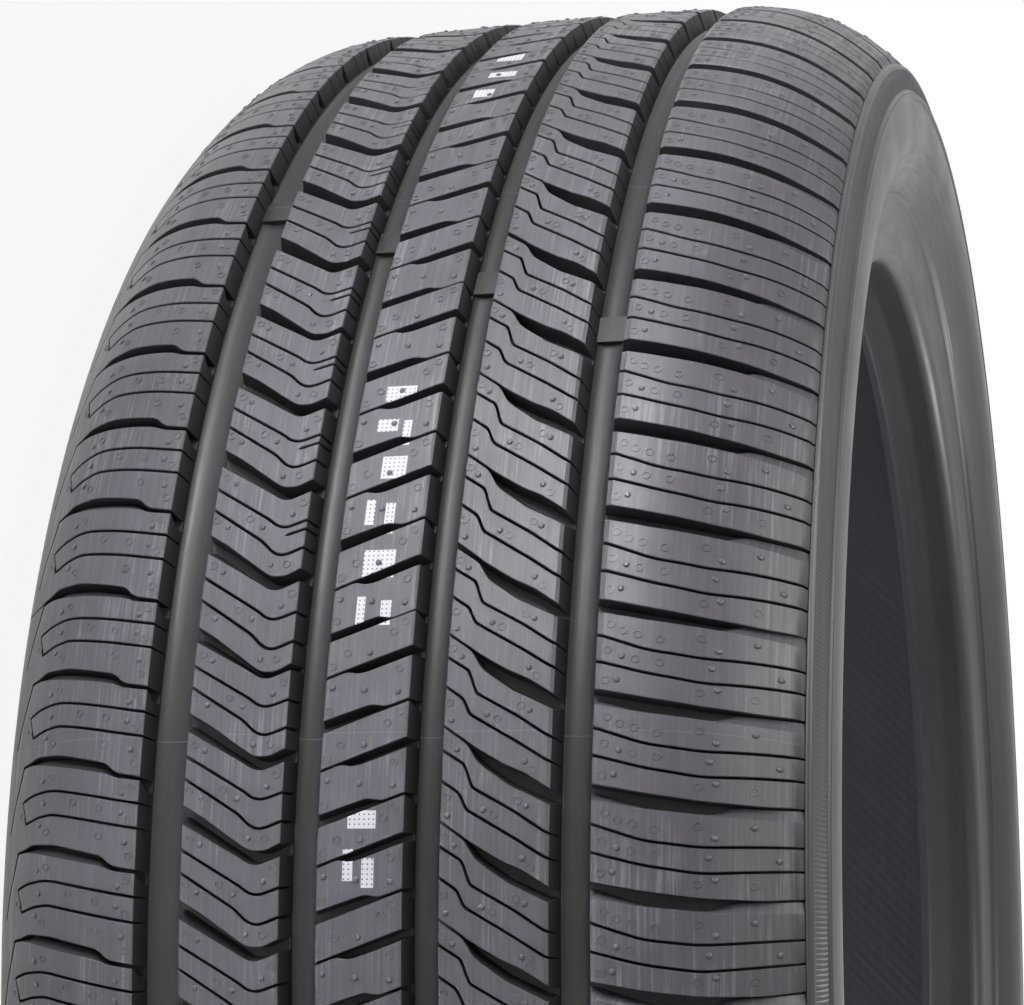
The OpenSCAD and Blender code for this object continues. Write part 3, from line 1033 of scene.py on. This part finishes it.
@dataclass
class Tread:
    """The five ribs with their cuts."""

    form: TreadForm
    ring: PitchRing

    def ribs(self) -> list[Rib]:
        """Lists the ribs from the lower shoulder to the upper one."""
        g, edge = self.form.grooves, self.form.shoulder_at
        stub = Slit([(-52, 0.9), (-34, 1.3), (-31, 1.39), (-27.8, 1.35), (-21.8, 1.28)],
                    starts=-27.8)
        shared = {"form": self.form, "ring": self.ring}
        rib_1 = Rib(
            "tread_rib_1", -edge, g[0].low, [
                Channel([(-105, -0.24), (-102, -0.26), (-99, -0.31), (-90, -0.29), (-74, -0.16),
                         (-71, -0.05), (-63, 0.0)],
                        [(-105, -0.21), (-102, -0.23), (-99, -0.22), (-90, -0.16), (-74, -0.05),
                         (-71, 0.0), (-63, 0.04)],
                        slope=[(-105, 0.1), (-102, 0.3), (-96, 2.2), (-76, 2.2), (-71, 0.2)],
                        slope_depth=[(-110, 0.5), (-76, 0.5)], starts=-105.0),
                Slit([(-104.2, 0.19), (-100, 0.13), (-94, 0.1), (-89.9, 0.11), (-69.4, 0.25),
                      (-61, 0.3)], starts=-104.2),
                Slit([(-102.2, 0.45), (-97, 0.39), (-92, 0.37), (-89.9, 0.38), (-69.4, 0.52),
                      (-61, 0.57)], starts=-102.2)],
            rings=((-92.7, -0.05), (-65.9, 0.1), (-104, 0.36), (-84.1, 0.25), (-75.3, 0.33),
                   (-66.1, 0.46), (-93.3, 0.56), (-75, 0.63), (-65.7, 0.85)),
            nubs=((-96.1, -0.02), (-68.6, 0.17), (-95.1, 0.24), (-68.7, 0.38), (-96.3, 0.48),
                  (-67, 0.7)),
            low_chamfer=(0.7, 0.5), low_drafted=False, step=1.6,
            splits={0: ((-105.1, -108.4),), 1: ((-108.4, -109.8), (-104.2, -102.2))}, **shared)
        rib_2 = Rib(
            "tread_rib_2", g[0].high, g[1].low, [
                Channel([(-50.5, 0.31), (-44.6, 0.44), (-32.9, 0.75), (-30.6, 0.8), (-26.6, 0.8),
                         (-21.8, 0.71)],
                        [(-50.4, 0.51), (-32.9, 0.89), (-30.9, 0.94), (-28.3, 0.95), (-24.9, 0.9),
                         (-21.8, 0.85)],
                        slope=[(-50, 2.6), (-34, 1.3), (-22, 0.8)]),
                Slit([(-51, 0.77), (-33.2, 1.17), (-30.9, 1.24), (-28.6, 1.26), (-26.9, 1.25),
                      (-21.8, 1.18)]),
                stub,
                Slit([(-50.7, 1.02), (-34.5, 1.41), (-31.3, 1.53), (-29, 1.57), (-26.7, 1.56),
                      (-22.2, 1.49)])],
            rings=((-47.9, 0.66), (-24, 0.99), (-39.1, 1.15), (-48.8, 1.15), (-26.5, 1.67)),
            nubs=((-45, 0.73), (-26.7, 1.12), (-35, 1.25), (-45.5, 1.23), (-31.3, 1.67)),
            stub=stub, step=1.2, **shared)
        rib_3 = Rib(
            "tread_rib_3", g[1].high, g[2].low, [
                Channel([(-12, 0.435), (1.5, 0.255), (5.5, 0.28), (11.7, 0.19)],
                        [(-12, 0.57), (11.7, 0.22)], slope=[(-12, 1.1), (2, 0.8), (5, 0.05)]),
                Channel([(-11.8, 0.955), (-4.7, 0.85), (11.5, 0.61)],
                        [(-11.8, 0.985), (-5.7, 0.89), (-3.8, 0.92), (-0.6, 0.9), (11.5, 0.72)],
                        slope=[(-5, 0.05), (0, 0.8), (12, 1.1)])],
            rings=((8.5, 0.87), (-10.3, 0.33), (6.1, 0.46), (9.3, 0.34), (-10.2, 0.84),
                   (-6.4, 0.69)),
            nubs=((-9.8, 1.07), (-0.8, 1.1), (8.5, 1.12), (0, 0.69)),
            high_chamfer=(0.8, 0.35), step=1.2, **shared)
        rib_4 = Rib(
            "tread_rib_4", g[2].high, g[3].low, [
                Channel([(21.5, -0.515), (28.2, -0.335), (29.3, -0.3), (33.1, -0.21), (38.5, -0.09),
                         (43.9, 0.0), (49.2, 0.13)],
                        [(21.5, -0.485), (28.2, -0.305), (29.6, -0.22), (30.6, -0.14),
                         (32.6, -0.07), (35.9, 0.02), (39.9, 0.13), (43.9, 0.2), (49.2, 0.3)],
                        blend=0.7, slope=[(28, 0.05), (31, 1.3), (49, 1.5)]),
                Slit([(21.7, -0.24), (27.8, -0.09), (30, 0.15), (41.9, 0.41), (49.3, 0.6),
                      (51.1, 0.63)], blend=0.5),
                Slit([(21.7, 0.08), (26.6, 0.21), (28.6, 0.38), (41.9, 0.68), (49.3, 0.86),
                      (51.1, 0.89)], blend=0.5)],
            rings=((23, -0.34), (42.3, 0.29), (23.1, 0.25), (36, 0.43), (46, 0.97)),
            nubs=((25.5, -0.25), (44.6, 0.34), (23.7, 0.44), (33.2, 0.38), (43.9, 0.88)),
            high_chamfer=(1.0, 0.5), step=0.9, **shared)
        rib_5 = Rib(
            "tread_rib_5", g[3].high, edge, [
                Channel([(61.8, 0.12), (75, 0.21), (89.4, 0.28), (104, 0.3), (113, 0.27)],
                        [(61.8, 0.28), (75, 0.37), (89.4, 0.42), (104, 0.43), (113, 0.42)],
                        blend=3.0, ramp=True,
                        slope=[(62, 2.6), (67, 1.8), (74, 0.5), (90, 0.6), (98, 3.0), (113, 3.3)],
                        slope_depth=[(62, 0.9), (90, 0.9), (97, 0.5), (113, 0.4)]),
                Slit([(61.6, 0.53), (75, 0.7), (89.4, 0.76), (113.6, 0.71)], blend=3.0),
                Slit([(61.6, 0.82), (75, 0.95), (89.4, 1.03), (113.5, 0.97)], blend=3.0)],
            rings=((65.3, 0.42), (68.6, 0.49), (72.4, 0.53), (78.2, 0.58), (88.7, 0.54),
                   (64.7, 0.7), (72, 0.8), (78.3, 0.83), (64.4, 1.03), (88.6, 1.13), (101.9, 1.14)),
            nubs=((92.8, 0.66), (102, 0.53), (68.5, 0.77), (91.3, 0.86), (107.7, 0.87),
                  (67.4, 1.02), (92.8, 1.09)),
            low_chamfer=(1.6, 0.8), high_chamfer=(1.3, 1.0), high_drafted=False, step=1.8, **shared)
        return [rib_1, rib_2, rib_3, rib_4, rib_5]

    def build(self, tree: PitchTree, rubbers: Sequence[bpy.types.Material],
              inked: bpy.types.Material) -> list[bpy.types.Object]:
        """Builds all ribs round the tyre.

        Args:
            tree: The tree that repeats a tile.
            rubbers: Materials of the tops, the walls and the vent marks.
            inked: Material of the centre rib's tops.

        Returns:
            One object for each rib.
        """
        made = []
        ribs = self.ribs()
        for rib in ribs:
            tile = rib.tile(rib.name + "_tile", with_stub=True)
            short_tile = rib.tile(rib.name + "_short_tile", with_stub=False)
            tops = inked if rib is ribs[len(ribs) // 2] else rubbers[0]
            made.append(tree.repeat(rib.name, tile, short_tile, rib.pitch, self.ring,
                                    [tops, *rubbers[1:]]))
        return made


@dataclass(frozen=True)
class Lamp:
    """A soft lamp that faces a place."""

    name: str
    at: Spot
    size: Point
    power: float
    towards: Spot = (0.0, 0.0, 0.0)
    colour: str = "ffffff"
    spread: float = 180.0

    def build(self) -> None:
        """Hangs the lamp in the scene."""
        data = bpy.data.lights.new(self.name, "AREA")
        data.shape, data.energy = "RECTANGLE", self.power
        data.size, data.size_y = self.size
        data.spread = math.radians(self.spread)
        data.color = srgb(self.colour)[:3]
        made = bpy.data.objects.new(self.name, data)
        made.location = self.at
        made.rotation_mode = "QUATERNION"
        made.rotation_quaternion = (Vector(self.towards) - Vector(self.at)).to_track_quat("-Z", "Y")
        bpy.context.scene.collection.objects.link(made)


@dataclass
class Studio:
    """Pale floor, soft lamps and the camera of the photograph."""

    floor_z: float
    camera_at: Spot = (0.0, -1.0024, 0.2233)
    camera_turn: Spot = (7.957, -74.678, 90.975)
    lens: float = 93.415
    sensor: float = 36.0
    floor_half: float = 6.0
    floor_colour: str = "e9e9ea"
    shadow_near: float = 0.4
    shadow_far: float = 1.3
    shadow_glow: float = 0.9
    ambient: float = 0.04

    def lamps(self) -> list[Lamp]:
        """Lists the lamps: two low keys, two high, one behind and two for the floor."""
        return [
            Lamp("near_key_lamp", (-0.75, -0.95, -0.05), (0.4, 0.1), 4.4),
            Lamp("far_key_lamp", (-1.25, -0.75, -0.03), (0.4, 0.15), 2.2),
            Lamp("high_lamp", (-0.6, -0.5, 1.3), (0.6, 0.6), 6.0),
            Lamp("edge_lamp", (-0.3, -0.95, 1.15), (0.3, 0.3), 2.0),
            Lamp("rear_lamp", (0.8, 1.1, 1.1), (0.6, 0.6), 9.0),
            Lamp("floor_lamp", (-0.42, -0.5, 0.25), (0.1, 0.1), 3.0,
                 (-0.42, -0.5, self.floor_z), COOL_WHITE, 50.0),
            Lamp("front_floor_lamp", (-0.15, -0.47, 0.05), (0.5, 0.06), 0.9,
                 (-0.15, -0.47, self.floor_z), COOL_WHITE, 40.0)]

    def floor(self) -> bpy.types.Object:
        """Makes the floor, which looks white to the camera but keeps the tyre's shadow."""
        made = MeshMaker()
        corners = ((-1, -1), (1, -1), (1, 1), (-1, 1))
        start = made.add_points(np.array([
            (x * self.floor_half, y * self.floor_half, self.floor_z) for x, y in corners]))
        made.add_face(range(start, start + 4))
        piece = made.build("floor")
        material = bpy.data.materials.new("pale_floor")
        material.use_nodes = True
        t = material.node_tree
        base = t.nodes["Principled BSDF"]
        base.inputs["Base Color"].default_value = srgb(self.floor_colour)
        base.inputs["Roughness"].default_value = 0.8
        rays = add_node(t, "ShaderNodeLightPath").outputs
        seen = add_node(t, MATH, MAXIMUM, (rays["Is Camera Ray"], rays["Is Glossy Ray"]))
        place = add_node(t, "ShaderNodeTexCoord").outputs["Object"]
        away = add_node(t, "ShaderNodeVectorMath", LENGTH, (place,)).outputs["Value"]
        # Near the tyre a part of the floor's own light is left, so that its shadow shows.
        white = add_node(t, MAP, {"interpolation_type": "SMOOTHSTEP"}, {
            "Value": away, "From Min": self.shadow_near, "From Max": self.shadow_far,
            "To Min": self.shadow_glow, "To Max": 1.0})
        part = add_node(t, MATH, MULTIPLY, (seen, white))
        glow = add_node(t, "ShaderNodeEmission", {}, {"Color": (1, 1, 1, 1), "Strength": 1.0})
        mixed = add_node(t, "ShaderNodeMixShader", {}, (part, base, glow))
        t.links.new(mixed.outputs[0], t.nodes["Material Output"].inputs["Surface"])
        piece.data.materials.append(material)
        return piece

    def world(self) -> None:
        """Makes a plain sky, white to the camera and low in reflections, and grey as light."""
        world = bpy.data.worlds.new("studio")
        bpy.context.scene.world = world
        world.use_nodes = True
        t = world.node_tree
        rays = add_node(t, "ShaderNodeLightPath").outputs
        seen = add_node(t, MATH, MAXIMUM, (rays["Is Camera Ray"], rays["Is Glossy Ray"]))
        seen = add_node(t, MATH, MAXIMUM, (seen, rays["Is Transmission Ray"]))
        way = add_node(t, "ShaderNodeTexCoord").outputs["Generated"]
        rise = add_node(t, "ShaderNodeSeparateXYZ", {}, (way,)).outputs["Z"]
        # Higher up the sky is a little darker in reflections, as above a soft box.
        sky = add_node(t, MAP, {}, {
            "Value": rise, "From Min": 0.05, "From Max": 0.35, "To Min": 1.0, "To Max": 0.7})
        white = add_node(t, MATH, MAXIMUM, (sky, rays["Is Camera Ray"]))
        level = add_node(t, MIX, FLOAT, {0: seen, 2: self.ambient, 3: white})
        t.links.new(level.outputs[0], t.nodes["Background"].inputs["Strength"])
        t.nodes["Background"].inputs["Color"].default_value = (1, 1, 1, 1)

    def camera(self) -> None:
        """Sets the camera that sees the tyre as the photograph does."""
        data = bpy.data.cameras.new("camera")
        data.sensor_fit = "HORIZONTAL"
        data.sensor_width, data.lens = self.sensor, self.lens
        made = bpy.data.objects.new("camera", data)
        made.location = self.camera_at
        made.rotation_euler = [math.radians(a) for a in self.camera_turn]
        bpy.context.scene.collection.objects.link(made)
        bpy.context.scene.camera = made

    def build(self) -> None:
        """Sets up floor, world, lamps, camera and view."""
        self.floor()
        self.world()
        for lamp in self.lamps():
            lamp.build()
        self.camera()
        bpy.context.scene.view_settings.view_transform = "Standard"


def finish_piece(piece: bpy.types.Object) -> None:
    """Ties a piece to the tyre's body and reports its triangles."""
    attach(piece, BODY)
    piece.data.calc_loop_triangles()
    LOG.info("%s: %d triangles", piece.name, len(piece.data.loop_triangles))


def main() -> None:
    logging.basicConfig(level=logging.INFO, format="%(message)s")
    low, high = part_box(NODE)
    form = TreadForm(outer_r=high.x / MM - NUB_ROOM)
    ring = PitchRing()
    Studio(floor_z=low.z).build()
    # Moulded tops: grey with dust and streaks, so the tread looks new and unused, and lighter than
    # bare rubber partly as painted sheen.
    tread = Rubber("moulded_tread_rubber", colour="4c4a4f", light="5e5c62", roughness=0.4,
                   bloom=0.5, parting=True)
    tread_rubber = tread.build()
    inked_rubber = replace(tread, name="inked_tread_rubber", ink=INK_BARS).build()
    # Walls and floors of the cuts: a darker, duller copy of the tread rubber, painted shade, so the
    # cuts look deep and black.
    wall_shade = Rubber("cut_wall_rubber", colour="232225", light="2b2a2d", roughness=0.6).build()
    # Vent marks: trimmed rubber with a slight gloss, so each one shows a small highlight, in a grey
    # lighter than the tops that is painted highlight.
    mark_highlight = Rubber("vent_mark_rubber", colour="55535a", light="615f66", roughness=0.3).build()
    # Groove floors: smooth and darker than the tops, as painted shade at the bottom of the grooves,
    # with one soft highlight along them.
    groove_floor_shade = Rubber("smooth_groove_rubber", colour="242326", light="2e2d31", roughness=0.42,
                           parting=True).build()
    # Sidewall: satin, so its curve shows as broad bands of light.
    side_rubber = Rubber("moulded_sidewall_rubber", colour="444246", light="504e53",
                         roughness=0.38).build()
    # Liner: soft butyl with slanted cord ribs, bluish and matt.
    liner_rubber = Rubber("butyl_liner_rubber", colour="8a8994", light="96959f", roughness=0.5,
                          cord_mm=6.0).build()
    # The photo's lower shoulder band stands this far in.
    tuck = 1.3
    body = Carcass(form, half_w=high.z / MM, tuck=tuck).build({
        Skin.BASE: wall_shade, Skin.GROOVE: groove_floor_shade, Skin.SIDE: side_rubber,
        Skin.LINER: liner_rubber})
    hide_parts(NODE)
    finish_piece(body)
    tree = PitchTree()
    finish_piece(WearBars(form).build(tree, groove_floor_shade))
    band = ((2.9, 115.12), (10.2, 117.36))
    ridge = ((11.4, 118.25), (13.2, 118.25))
    tucked = ((band[0][0] + BAND_FALL * tuck, band[0][1] - tuck), band[1])
    finish_piece(Serration(form, 1, (band, ridge)).build("upper_band_teeth", tree, side_rubber))
    finish_piece(Serration(form, -1, (tucked,)).build("lower_band_teeth", tree, side_rubber))
    tread_rubbers = [tread_rubber, wall_shade, mark_highlight]
    for rib in Tread(form, ring).build(tree, tread_rubbers, inked_rubber):
        finish_piece(rib)


if __name__ == "__main__":
    main()
